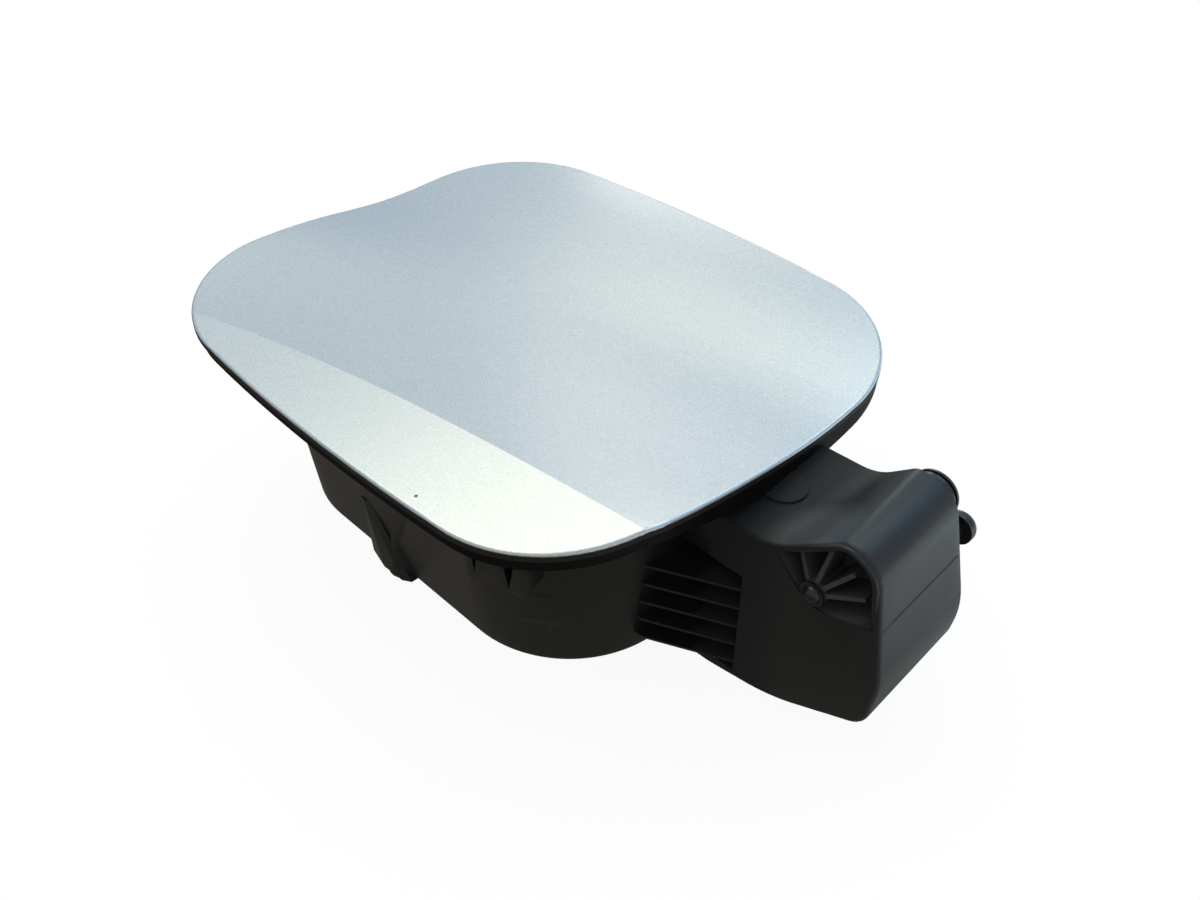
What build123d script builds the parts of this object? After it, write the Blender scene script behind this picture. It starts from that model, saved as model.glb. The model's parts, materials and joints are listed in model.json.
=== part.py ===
from build123d import *
from math import cos, radians, sin
import os

os.makedirs("parts", exist_ok=True)

# Car fuel door in millimetres: +Z out of the car, +X towards the hinge, +Y along the hinge axis,
# with the filler neck on the Z axis and the bowl's base at zero

# Flap panel, with its height taken at the middle of the crease
flap_z = 70.0
flap_free_x = 90.0
flap_hinge_x = 92.0
flap_half_y = 76.5
side_bow = 4.9
free_bow = 2.0
hinge_bow = 4.0
flap_corner = 40.0
flap_wide_corner = 43.0
skin_thick = 2.4
skin_edge_round = 0.9
carrier_thick = 1.8
carrier_inset = 7.5
carrier_rib = 2.2
carrier_rib_drop = 11.0
carrier_rib_box = (70.0, 68.0)
arm_seat_box = (42.0, 44.0)

# Flap surface at four stations: near edge rise, then crease and four bends, each a share of the half width
# and a rise, then far edge rise
free_section = (0.0, (-1.046, 0.4), (-0.47, 1.9), (-0.17, 0.6), (0.14, -2.3), (0.5, -1.8), -0.3)
middle_section = (-2.3, (-0.698, 0.0), (-0.444, -1.0), (-0.183, -2.0), (0.157, -2.5), (0.55, -1.0), 1.2)
seat_section = (-2.3, (-0.608, 0.9), (-0.405, -0.6), (-0.13, -2.3), (0.21, -3.3), (0.575, -1.7), 0.8)
hinge_section = (-2.4, (-0.573, 2.0), (-0.392, -0.1), (-0.105, -2.4), (0.235, -4.0), (0.575, -2.8), -0.4)
skin_sections = (free_section, middle_section, seat_section, hinge_section)
section_places = (-1.02, 0.0, 0.61, 1.02)

# Rim surface, which follows the skin but dips further at the hinge
rim_section = (-2.4, (-0.573, 2.4), (-0.392, -0.7), (-0.105, -5.1), (0.235, -7.2), (0.5, -5.0), -0.6)
rim_sections = (free_section, middle_section, seat_section, rim_section)
rim_drop = 6.4

# Bowl
bowl_x = -0.6
bowl_half_x = 70.6
bowl_half_y = 52.0
bowl_corner = 36.0
bowl_draft = 6.0
bowl_wall = 2.5
base_round = 2.5
draft_height = flap_z - 8.5
flange_thick = 2.2
flange_inset = 4.2
flange_shift = (0.0, 0.6)

# Filler neck plate and seal
neck_radius = 27.0
neck_hole = 33.0
neck_plate = 42.5
neck_recess = 5.0
neck_lip = 37.0
neck_lip_thick = 2.0
neck_sleeve = 3.0

# Rim seal
seal_inset = 0.5
seal_width = 5.7
seal_gap = 0.4

# Hinge axis, set out beyond the flap's hinge edge
hinge_out = 24.0
hinge_drop = 20.8
hinge_x = flap_hinge_x + hinge_out
hinge_z = flap_z - hinge_drop
pin_radius = 2.0
pin_play = 0.05
pin_tip_reach = 0.6
pin_tip_round = 1.4
head_gap = 1.3
head_rib = 5.8
head_groove = 5.1
head_steps = (1.6, 0.9, 1.4, 0.9, 1.6)
head_round = 1.2

# Hinge pocket
pocket_near = -14.0
pocket_far = 21.0
pocket_wall = 2.3
mouth_x = bowl_x + bowl_half_x - 8.0
pocket_edge = 1.4
near_rises = (6.6, 20.9, 20.6)
far_rises = (11.8, 20.0, 19.0)
near_steps = (-13.5, 6.5, 16.0, 21.8, 19.8, -8.0)
far_steps = (-8.0, 2.5, 13.5, 21.8, 19.8, -8.0)
mouth_slope = 0.03
waist_share = 0.29
near_sole = (17.0, 3.6, 0.0)
far_sole = (22.5, 8.5, 4.5)
profile_radii = (14.0, 4.0, 9.5, 30.0, 8.0, 60.0, 40.0)

# Axle recess in the pocket's near wall
recess_depth = 10.0
recess_lip = 1.8
boss_radius = 3.7
boss_length = 10.3
gusset_thick = 1.2
gusset_angles = (20.0, 50.0, 83.0, 126.0)
gusset_reach = 13.0
gusset_drop = 3.6

# Corner fins between the bowl and the pocket
fin_levels = (7.8, 14.6, 21.4, 28.2, 35.0)
fin_thick = 1.6
fin_floor = -8.0
fin_tip = -25.5
fin_end_x = hinge_x - 20.5
fin_top = 40.0

# Gooseneck arm, its bends measured from the hinge axis
arm_near = 0.0
arm_far = 17.0
arm_thick = 4.5
barrel_radius = 7.5
arm_depth = 0.64 * hinge_z
arm_bends = ((1.5, -6.0), (2.5, -arm_depth), (-24.0, 1 - arm_depth), (-36.5, -6.0), (-36.0, 10.0))
arm_bend_radii = (10.0, 14.0, 14.0)
foot_z = flap_z - 9.0
foot_thick = 4.0
foot_x = 36.0
foot_wide_x = 62.0
foot_wing = 9.0
screw_spots = ((42.0, -4.0), (42.0, 21.0), (57.0, -4.0), (57.0, 21.0))
screw_radius = 1.9
screw_head = 3.6

# Arm notch in the rim
notch_x = flap_hinge_x - 3.7
notch_near = -1.8
notch_far = 18.6
web_thick = 1.4

# Spring and its post, outside the far wall
far_boss = 3.0
far_boss_radius = 6.0
post_boss_radius = 4.0
spring_radius = 5.2
spring_wire = 1.4
spring_turns = 4
spring_pitch = 1.6
spring_y = pocket_far + 4.4
spring_leg = 12.0
post_spot = (hinge_x + 8.2, hinge_z - 7.4)
post_radius = 2.2
post_depth = 4.0
post_reach = 17.0
post_head = 4.6
post_head_thick = 4.0
post_head_round = 2.4

# Lock sleeve and latch eye
lock_drop = 25.0
lock_z = flap_z - lock_drop
lock_bore = 5.5
lock_sleeve = 8.2
lock_block = 3.8
lock_block_length = 9.0
sleeve_length = 6.5
sleeve_lip = 2.4
sleeve_lip_thick = 2.2
sleeve_lip_round = 1.0
latch_x = -57.0
latch_thick = 5.0
latch_width = 18.0
latch_tail = 8.0
eye_wide = 11.0
eye_high = 10.0
latch_foot = (12.0, 22.0)
latch_foot_thick = 2.5
latch_pad_z = flap_z - 11.0

# Buffers, drain and lugs
buffer_x = -30.0
buffer_wall_y = bowl_half_y + bowl_draft
buffer_room = flap_half_y - seal_inset - seal_width - buffer_wall_y - 1.0
buffer_y = buffer_wall_y + buffer_room / 2
buffer_radius = 0.38 * buffer_room
buffer_stem = 0.2 * buffer_room
buffer_tip = 0.22 * buffer_room
buffer_barb_drop = 3.4
drain_spot = (-2.5, 2.0 - bowl_half_y)
drain_radius = 5.8
drain_bore = 4.2
drain_depth = 9.0
drain_rise = 16.0
drain_taper = 8.0
flare_foot = ((-15.6, 3.0), (-15.0, -1.6), (-7.0, -3.5), (1.5, -3.2), (4.2, -1.6), (4.2, 3.0))
flare_head = ((-16.4, 0.0), (-16.0, -2.4), (-14.6, -2.5), (-13.2, -2.4), (-12.4, -1.8), (-12.4, 0.0))
flare_rise = 22.0
tongue_spot = (90.1, 5.3)
tongue_radius = 8.5
tongue_rise = 0.7
lug_angles = (-63.0, 63.0, 117.0)
lug_z = 28.5

free_x = flap_free_x - free_bow
edge_x = flap_hinge_x - hinge_bow
edge_y = flap_half_y - side_bow
carrier_drop = skin_thick + carrier_thick
corner_y = bowl_half_y - bowl_corner


# Flap outline grown outwards by a distance, with two corners wider than the others
def rim_face(grow):
    left = -free_x - grow
    right = edge_x + grow
    side = edge_y + grow
    with BuildSketch() as rim:
        with BuildLine():
            ThreePointArc((left, -side), (0, -flap_half_y - grow), (right, -side))
            ThreePointArc((right, -side), (flap_hinge_x + grow, 0), (right, side))
            ThreePointArc((right, side), (0, flap_half_y + grow), (left, side))
            ThreePointArc((left, side), (-flap_free_x - grow, 0), (left, -side))
        make_face()
        for corner in ((left, -side), (right, side), (right, -side), (left, side)):
            wide = corner[0] * corner[1] > 0
            radius = flap_wide_corner if wide else flap_corner
            fillet(rim.vertices().sort_by_distance(corner)[0], radius + grow)
    return rim.sketch


# Everything above a surface through four sections, lowered by a drop
def sky_over(sections, drop):
    level = flap_z - drop
    side = 1.105 * flap_half_y
    with BuildPart() as sky:
        for place, (near_z, *shares, far_z) in zip(section_places, sections):
            near = (-side, level + near_z)
            far = (side, level + far_z)
            bends = [(share * flap_half_y, level + z) for share, z in shares]
            with BuildSketch(Plane.YZ.offset(place * flap_hinge_x)):
                with BuildLine():
                    Line(near, bends[0])
                    Spline(*bends, far)
                    Polyline(far, (side, flap_z + 40), (-side, flap_z + 40), near)
                make_face()
        loft()
    return sky.part


# Rounded bowl block that widens upwards, inset all round
def bowl_block(inset, low, high):
    with BuildPart() as block:
        for z in (low, high):
            grow = bowl_draft * z / draft_height - inset
            with BuildSketch(Plane.XY.offset(z)):
                with Locations((bowl_x, 0)):
                    length = 2 * (bowl_half_x + grow)
                    width = 2 * (bowl_half_y + grow)
                    RectangleRounded(length, width, bowl_corner + grow)
        loft()
    return block.part


# Corner points of the pocket's side profile
def pocket_points(steps, rises, sole):
    crown_z = hinge_z + rises[2]
    waist_z = sole[0] + waist_share * (crown_z - sole[0])
    levels = [*[hinge_z + rise for rise in rises], waist_z, *sole[:2]]
    points = [(hinge_x + step, level) for step, level in zip(steps, levels)]
    mouth_z = points[0][1] - mouth_slope * (points[0][0] - mouth_x)
    tail_x = bowl_x + bowl_half_x + 16
    return [(mouth_x, mouth_z), *points, (tail_x, sole[2]), (mouth_x, sole[2])]


# Pocket profile, inset all round
def pocket_face(steps, rises, sole, inset):
    with BuildSketch() as profile:
        with BuildLine():
            run = FilletPolyline(*pocket_points(steps, rises, sole), radius=profile_radii)
            Line(run @ 1, run @ 0)
        make_face()
        if inset:
            offset(amount=-inset)
    return profile.sketch


# Pocket block lofted from the near profile to the far one
def pocket_block(inset):
    near_face = pocket_face(near_steps, near_rises, near_sole, inset)
    far_face = pocket_face(far_steps, far_rises, far_sole, inset)
    with BuildPart() as block:
        with BuildSketch(Plane.XZ.offset(-pocket_near - inset)):
            add(near_face)
        with BuildSketch(Plane.XZ.offset(-pocket_far + inset)):
            add(far_face)
        loft()
    return block.part


# Axle recess outline on the near wall, grown outwards by a distance
def recess_face(grow):
    inside_lip = pocket_face(near_steps, near_rises, near_sole, max(recess_lip - grow, 0))
    with BuildSketch() as recess:
        add(inside_lip)
        with BuildLine():
            Polyline(
                (hinge_x - 11.5 - grow, hinge_z + 5.6 - grow),
                (hinge_x - 1.6 - grow, hinge_z - 3.8 - grow),
                (hinge_x + 5.0 + grow, hinge_z - 3.8 - grow),
                (hinge_x + 26.0, hinge_z + 3.2 - grow),
                (hinge_x + 26.0, hinge_z + 40.0),
                (hinge_x - 11.5 - grow, hinge_z + 40.0),
                close=True,
            )
        make_face(mode=Mode.INTERSECT)
    return recess.sketch


flap_face = rim_face(0)
carrier_face = rim_face(-carrier_inset)
flange_face = rim_face(-flange_inset)
seal_face = rim_face(-seal_inset)
seal_inner_face = rim_face(-seal_inset - seal_width)
skin_sky = sky_over(skin_sections, 0)
skin_floor = sky_over(skin_sections, skin_thick)
carrier_floor = sky_over(skin_sections, carrier_drop)
seal_ceiling = sky_over(skin_sections, skin_thick + seal_gap)
buffer_ceiling = sky_over(skin_sections, carrier_drop + 0.3)
rim_sky = sky_over(rim_sections, rim_drop)
flange_floor = sky_over(rim_sections, rim_drop + flange_thick)
bowl_outside = bowl_block(0, 0, flap_z - 1)
bowl_inside = bowl_block(bowl_wall, bowl_wall, flap_z)
pocket_outside = pocket_block(0)
pocket_inside = pocket_block(pocket_wall)
axle_recess = recess_face(0)
axle_recess_back = recess_face(pocket_wall)

# Painted skin
with BuildPart() as outer_flap:
    with BuildSketch(Plane.XY.offset(flap_z - 12)):
        add(flap_face)
    extrude(amount=24)
    add(skin_floor, mode=Mode.INTERSECT)
    add(skin_sky, mode=Mode.SUBTRACT)
    side_faces = outer_flap.faces().filter_by(lambda face: abs(face.normal_at().Z) < 0.05)
    fillet([face.edges().sort_by(Axis.Z)[-1] for face in side_faces], skin_edge_round)
outer_flap.part.label = "outer_flap"
export_step(outer_flap.part, "parts/outer_flap.step")

# Inner panel with stiffening ribs, arm seat and latch pad
with BuildPart() as flap_carrier:
    with BuildSketch(Plane.XY.offset(flap_z - 12)):
        add(carrier_face)
    extrude(amount=24)
    add(carrier_floor, mode=Mode.INTERSECT)
    with BuildSketch(Plane.XY.offset(foot_z)):
        with Locations((43, (arm_near + arm_far) / 2)):
            RectangleRounded(*arm_seat_box, 5)
    extrude(amount=8)
    with BuildSketch(Plane.XY.offset(flap_z - carrier_rib_drop)):
        with Locations((-20, -carrier_rib_box[1] / 2), (-20, carrier_rib_box[1] / 2)):
            Rectangle(carrier_rib_box[0], carrier_rib)
        with Locations((-46, 0), (8, 0)):
            Rectangle(carrier_rib, carrier_rib_box[1])
    extrude(amount=carrier_rib_drop - 1)
    with BuildSketch(Plane.XY.offset(latch_pad_z)):
        with Locations((latch_x, 0)):
            RectangleRounded(latch_foot[0] + 2, latch_foot[1] + 2, 2)
    extrude(amount=flap_z - latch_pad_z)
    with BuildSketch(Plane.XY.offset(foot_z)):
        with Locations(*screw_spots):
            Circle(screw_radius + 0.05)
    extrude(amount=3.6, mode=Mode.SUBTRACT)
    add(skin_floor, mode=Mode.SUBTRACT)
flap_carrier.part.label = "flap_carrier"
export_step(flap_carrier.part, "parts/flap_carrier.step")

# Latch eye, its foot flat against the pad
with BuildPart() as latch_eye:
    with BuildSketch(Plane.XY.offset(latch_pad_z)):
        with Locations((latch_x, 0)):
            RectangleRounded(*latch_foot, 1.5)
    extrude(amount=-latch_foot_thick)
    with BuildSketch(Plane.XY.offset(latch_pad_z - latch_foot_thick / 2)):
        with Locations((latch_x, 0)):
            RectangleRounded(latch_thick, latch_width, 1.5)
    extrude(amount=lock_z - latch_tail - latch_pad_z + latch_foot_thick / 2)
    with BuildSketch(Plane.YZ.offset(latch_x)):
        with Locations((0, lock_z)):
            RectangleRounded(eye_wide, eye_high, 2)
    extrude(amount=latch_thick, both=True, mode=Mode.SUBTRACT)
latch_eye.part.label = "latch_eye"
export_step(latch_eye.part, "parts/latch_eye.step")

# Gooseneck arm
with BuildPart() as hinge_arm:
    with BuildSketch(Plane.XZ.offset(-arm_near)):
        with BuildLine() as spine:
            bends = [(hinge_x + u, hinge_z + w) for u, w in arm_bends]
            FilletPolyline(*bends, radius=arm_bend_radii)
        trace(line_width=arm_thick)
    extrude(amount=arm_near - arm_far)
    with BuildSketch(Plane.XZ.offset(-notch_near - 0.6)):
        with Locations((hinge_x, hinge_z)):
            Circle(barrel_radius)
    extrude(amount=notch_near - notch_far + 1.0)
    with BuildSketch(Plane.XY.offset(foot_z)):
        with Locations((foot_x, (arm_near + arm_far) / 2)):
            wide_run = foot_wide_x - foot_x
            long_run = hinge_x + arm_bends[4][0] + arm_thick / 2 - foot_x
            Rectangle(wide_run, arm_far - arm_near + 2 * foot_wing, align=(Align.MIN, Align.CENTER))
            Rectangle(long_run, arm_far - arm_near, align=(Align.MIN, Align.CENTER))
    extrude(amount=-foot_thick)
    with BuildSketch(Plane.XZ):
        with Locations((hinge_x, hinge_z)):
            Circle(pin_radius + 0.02)
            with Locations((pin_radius - 0.6, 0)):
                Rectangle(2, 2 * pin_radius, align=(Align.MIN, Align.CENTER), mode=Mode.SUBTRACT)
    extrude(amount=60, both=True, mode=Mode.SUBTRACT)
    with BuildSketch(Plane.XY.offset(foot_z)):
        with Locations(*screw_spots):
            Circle(screw_radius + 0.1)
    extrude(amount=-foot_thick, mode=Mode.SUBTRACT)
hinge_arm.part.label = "hinge_arm"
export_step(hinge_arm.part, "parts/hinge_arm.step")

# Screws of the arm's foot
for number, spot in enumerate(screw_spots, start=1):
    with BuildPart() as arm_screw:
        with BuildSketch(Plane.XY.offset(foot_z - foot_thick)):
            with Locations(spot):
                Circle(screw_head)
        extrude(amount=-2.4)
        fillet(arm_screw.edges().sort_by(Axis.Z)[0], 1.0)
        with BuildSketch(Plane.XY.offset(foot_z - foot_thick)):
            with Locations(spot):
                Circle(screw_radius)
        extrude(amount=foot_thick + 3.2)
        with BuildSketch(Plane.XY.offset(foot_z - foot_thick - 2.4)):
            with Locations(spot):
                RegularPolygon(1.9, 6)
        extrude(amount=1.4, mode=Mode.SUBTRACT)
    arm_screw.part.label = f"arm_screw_{number}"
    export_step(arm_screw.part, f"parts/arm_screw_{number}.step")

# Hinge pocket from outside, with rounded edges and the fin recess
with BuildPart() as pocket_shell:
    add(pocket_outside)
    fillet(pocket_shell.faces().sort_by(Axis.Y)[0].edges(), pocket_edge)
    with BuildSketch(Plane.XY.offset(fin_levels[0] - 3.4)):
        with Locations((mouth_x, pocket_near)):
            Rectangle(fin_end_x - mouth_x, fin_floor - pocket_near, align=(Align.MIN, Align.MIN))
    extrude(amount=fin_top - fin_levels[0] + 3.4, mode=Mode.SUBTRACT)

# Room inside the pocket, less the backs of both recesses
with BuildPart() as pocket_room:
    add(pocket_inside)
    with BuildSketch(Plane.XZ.offset(-pocket_near)):
        add(axle_recess_back)
    extrude(amount=-recess_depth - pocket_wall, mode=Mode.SUBTRACT)
    with BuildSketch(Plane.XY):
        with Locations((mouth_x, pocket_near)):
            back_run = fin_end_x + pocket_wall - mouth_x
            back_depth = fin_floor + pocket_wall - pocket_near
            Rectangle(back_run, back_depth, align=(Align.MIN, Align.MIN))
    extrude(amount=fin_top + pocket_wall, mode=Mode.SUBTRACT)

# Raised disc on the pocket's top wall
with BuildPart() as tongue:
    with BuildSketch(Plane.XY.offset(hinge_z - 6)):
        with Locations(tongue_spot):
            Circle(tongue_radius)
    extrude(amount=20)
    add(pocket_outside.moved(Location((0, 0, tongue_rise))), mode=Mode.INTERSECT)

# Gussets that hold the axle boss, trimmed to the recess
with BuildPart() as gussets:
    boss_tip = pocket_near + recess_depth - boss_length
    for angle in gusset_angles:
        rib_plane = Plane(
            (hinge_x, pocket_near + recess_depth, hinge_z),
            x_dir=(cos(radians(angle)), 0, sin(radians(angle))),
            z_dir=(-sin(radians(angle)), 0, cos(radians(angle))),
        )
        with BuildSketch(rib_plane):
            with BuildLine():
                Polyline(
                    (boss_radius - 1, 0.5),
                    (gusset_reach, 0.5),
                    (gusset_reach, gusset_drop - boss_length),
                    (boss_radius - 1, 0.6 - boss_length),
                    close=True,
                )
            make_face()
        extrude(amount=gusset_thick / 2, both=True)
    with BuildSketch(Plane.XZ.offset(-pocket_near)):
        add(axle_recess)
    extrude(amount=-recess_depth - 0.5, mode=Mode.INTERSECT)

# Flare that carries the drain's side into the bowl wall
with BuildPart() as drain_flare:
    for level, points in ((0, flare_foot), (flare_rise, flare_head)):
        with BuildSketch(Plane.XY.offset(level)):
            with BuildLine():
                Polyline(*[(x, y - bowl_half_y) for x, y in points], close=True)
            make_face()
    loft()

# Rim flange, its top still to be trimmed
with BuildPart() as rim_flange:
    with BuildSketch(Plane.XY.offset(flap_z - 25)):
        with Locations(flange_shift):
            add(flange_face)
    extrude(amount=30)
    add(flange_floor, mode=Mode.INTERSECT)

# Moulded bowl
with BuildPart() as filler_bowl:
    add(bowl_outside)
    fillet(filler_bowl.edges().group_by(Axis.Z)[0], base_round)
    with BuildSketch(Plane.XY.offset(hinge_z - 6)):
        with Locations((mouth_x, (notch_near + notch_far) / 2)):
            Rectangle(
                notch_x + web_thick - mouth_x,
                notch_far - notch_near + 2 * web_thick,
                align=(Align.MIN, Align.CENTER),
            )
    extrude(amount=flap_z - hinge_z)
    add(rim_flange.part)
    add(rim_sky, mode=Mode.SUBTRACT)
    add(pocket_shell.part)
    add(tongue.part)
    with BuildSketch(*[Plane.XY.offset(level - fin_thick / 2) for level in fin_levels]):
        with BuildLine():
            Polyline(
                (mouth_x, fin_floor + 1),
                (fin_end_x, fin_floor + 1),
                (fin_end_x, pocket_near - 0.2),
                (bowl_x + bowl_half_x + 2, fin_tip),
                (mouth_x, fin_tip),
                close=True,
            )
        make_face()
    extrude(amount=fin_thick)
    with BuildSketch(Plane.XY):
        with Locations(drain_spot):
            Circle(drain_radius)
    extrude(amount=drain_rise, taper=drain_taper)
    add(drain_flare.part)
    for angle in lug_angles:
        side_x = bowl_x + (bowl_half_x - bowl_corner) * (1 if cos(radians(angle)) > 0 else -1)
        side_y = corner_y * (1 if angle > 0 else -1)
        reach = bowl_corner + bowl_draft * lug_z / draft_height
        spot = (side_x + reach * cos(radians(angle)), side_y + reach * sin(radians(angle)), lug_z)
        outwards = (cos(radians(angle)), sin(radians(angle)), 0)
        lug_plane = Plane(spot, x_dir=outwards, z_dir=(-outwards[1], outwards[0], 0))
        with BuildSketch(lug_plane):
            with BuildLine():
                Polyline((-7, 0), (0.4, 0), (4.6, 7), (4.6, 10.5), (-7, 10.5), close=True)
            make_face()
        extrude(amount=12.5, both=True)
        with BuildSketch(lug_plane.offset(-9), lug_plane.offset(2)):
            with BuildLine():
                Polyline((0.9, 10.5), (3.3, 10.5), (3.3, 6.8), (0.9, 3.2), close=True)
            make_face()
        extrude(amount=7, mode=Mode.SUBTRACT)
    with BuildSketch(Plane.YZ.offset(bowl_x - bowl_half_x - bowl_draft - 1.5)):
        with Locations((0, lock_z)):
            Circle(lock_sleeve + lock_block)
    extrude(amount=lock_block_length)
    with BuildSketch(Plane.XZ.offset(-pocket_far)):
        with Locations((hinge_x, hinge_z)):
            Circle(far_boss_radius)
        with Locations(post_spot):
            Circle(post_boss_radius)
    extrude(amount=-far_boss)
    add(bowl_inside, mode=Mode.SUBTRACT)
    add(pocket_room.part, mode=Mode.SUBTRACT)
    with BuildSketch(Plane.XY.offset(hinge_z - 8)):
        with Locations((mouth_x, (notch_near + notch_far) / 2)):
            Rectangle(notch_x - mouth_x, notch_far - notch_near, align=(Align.MIN, Align.CENTER))
    extrude(amount=30, mode=Mode.SUBTRACT)
    with BuildSketch(Plane.XZ.offset(-pocket_near)):
        add(axle_recess)
    extrude(amount=-recess_depth, mode=Mode.SUBTRACT)
    with BuildSketch(Plane.XZ.offset(-pocket_near - recess_depth)):
        with Locations((hinge_x, hinge_z)):
            Circle(boss_radius)
    extrude(amount=boss_length, taper=1.5)
    add(gussets.part)
    with BuildSketch(Plane.XY.offset(bowl_wall)):
        Circle(neck_plate)
    extrude(amount=neck_recess)
    with BuildSketch(Plane.XY):
        Circle(neck_plate - bowl_wall)
    extrude(amount=neck_recess, mode=Mode.SUBTRACT)
    with BuildSketch(Plane.XY):
        Circle(neck_hole)
    extrude(amount=20, mode=Mode.SUBTRACT)
    with BuildSketch(Plane.XY):
        with Locations(drain_spot):
            Circle(drain_bore)
    extrude(amount=drain_depth, mode=Mode.SUBTRACT)
    with BuildSketch(Plane.XZ):
        with Locations((hinge_x, hinge_z)):
            Circle(pin_radius + pin_play)
    extrude(amount=60, both=True, mode=Mode.SUBTRACT)
    with BuildSketch(Plane.XZ.offset(-pocket_far - far_boss)):
        with Locations(post_spot):
            Circle(post_radius + 0.05)
    extrude(amount=post_depth + 0.2, mode=Mode.SUBTRACT)
    with BuildSketch(Plane.YZ.offset(bowl_x - bowl_half_x - bowl_draft - 2)):
        with Locations((0, lock_z)):
            Circle(lock_sleeve)
    extrude(amount=12, mode=Mode.SUBTRACT)
    with BuildSketch(Plane.XY.offset(flap_z - 25)):
        with Locations((buffer_x, buffer_y), (buffer_x, -buffer_y)):
            Circle(buffer_stem + 0.1)
    extrude(amount=30, mode=Mode.SUBTRACT)
filler_bowl.part.label = "filler_bowl"
export_step(filler_bowl.part, "parts/filler_bowl.step")

# Rubber lip on the rim flange, open where the arm passes
with BuildPart() as rim_seal:
    with BuildSketch(Plane.XY.offset(flap_z - 25)):
        with Locations(flange_shift):
            add(seal_face)
            add(seal_inner_face, mode=Mode.SUBTRACT)
    extrude(amount=40)
    add(rim_sky, mode=Mode.INTERSECT)
    add(seal_ceiling, mode=Mode.SUBTRACT)
    with BuildSketch(Plane.XY.offset(hinge_z - 8)):
        with Locations((mouth_x, (notch_near + notch_far) / 2)):
            Rectangle(notch_x - mouth_x, notch_far - notch_near, align=(Align.MIN, Align.CENTER))
    extrude(amount=30, mode=Mode.SUBTRACT)
    add(pocket_outside.moved(Location((0, 0, 0.1))), mode=Mode.SUBTRACT)
    add(tongue.part, mode=Mode.SUBTRACT)
rim_seal.part.label = "rim_seal"
export_step(rim_seal.part, "parts/rim_seal.step")

# Rubber collar round the filler neck
with BuildPart() as neck_seal:
    plate_top = bowl_wall + neck_recess
    with BuildSketch(Plane.XZ):
        with BuildLine():
            Polyline(
                (neck_radius, 0),
                (neck_radius + neck_sleeve, 0),
                (neck_radius + neck_sleeve, neck_recess - neck_lip_thick),
                (neck_lip, neck_recess - neck_lip_thick),
                (neck_lip, neck_recess),
                (neck_hole - 0.1, neck_recess),
                (neck_hole - 0.1, plate_top),
                (neck_lip, plate_top),
                (neck_lip, plate_top + neck_lip_thick),
                (neck_radius, plate_top + neck_lip_thick),
                close=True,
            )
        make_face()
    revolve(axis=Axis.Z)
neck_seal.part.label = "neck_seal"
export_step(neck_seal.part, "parts/neck_seal.step")

# Hinge pin with a flat through the barrel, a domed end and a ribbed head
with BuildPart() as hinge_pin:
    tip_y = pocket_near + recess_depth - boss_length - pin_tip_reach
    head_y = spring_y + spring_turns * spring_pitch + head_gap
    with BuildSketch(Plane.XZ.offset(-tip_y)):
        with Locations((hinge_x, hinge_z)):
            Circle(pin_radius)
    extrude(amount=tip_y - head_y)
    fillet(hinge_pin.edges().sort_by(Axis.Y)[0], pin_tip_round)
    for step, run in enumerate(head_steps):
        with BuildSketch(Plane.XZ.offset(-head_y - sum(head_steps[:step]))):
            with Locations((hinge_x, hinge_z)):
                Circle(head_groove if step % 2 else head_rib)
        extrude(amount=-run)
    fillet(hinge_pin.edges().sort_by(Axis.Y)[-1], head_round)
    with BuildSketch(Plane.XZ.offset(-notch_near - 0.4)):
        with Locations((hinge_x + pin_radius - 0.65, hinge_z)):
            Rectangle(2, 3 * pin_radius, align=(Align.MIN, Align.CENTER))
    extrude(amount=notch_near - notch_far + 0.6, mode=Mode.SUBTRACT)
hinge_pin.part.label = "hinge_pin"
export_step(hinge_pin.part, "parts/hinge_pin.step")

# Spring wire wound about the Z axis, with one straight leg
with BuildPart() as coil:
    with BuildLine():
        winding = Helix(spring_pitch, spring_pitch * spring_turns, spring_radius, lefthand=True)
        leg = Line(winding @ 0 - spring_leg * (winding % 0), winding @ 0)
    with BuildSketch(Plane(leg @ 0, z_dir=leg % 0)):
        RegularPolygon(spring_wire / 2, 8)
    sweep()

# Closing spring round the pin, with its leg beside the post
with BuildPart() as closing_spring:
    add(coil.part.moved(Plane((hinge_x, spring_y, hinge_z), x_dir=(1, 0, 0), z_dir=(0, 1, 0)).location))
closing_spring.part.label = "closing_spring"
export_step(closing_spring.part, "parts/closing_spring.step")

# Headed post of the spring
with BuildPart() as spring_post:
    post_y = pocket_far + far_boss - post_depth
    cap_y = pocket_far + post_reach
    with BuildSketch(Plane.XZ.offset(-post_y)):
        with Locations(post_spot):
            Circle(post_radius)
    extrude(amount=post_y - cap_y)
    with BuildSketch(Plane.XZ.offset(-cap_y)):
        with Locations(post_spot):
            Circle(post_head)
    extrude(amount=-post_head_thick)
    fillet(spring_post.edges().sort_by(Axis.Y)[-1], post_head_round)
spring_post.part.label = "spring_post"
export_step(spring_post.part, "parts/spring_post.step")

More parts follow.
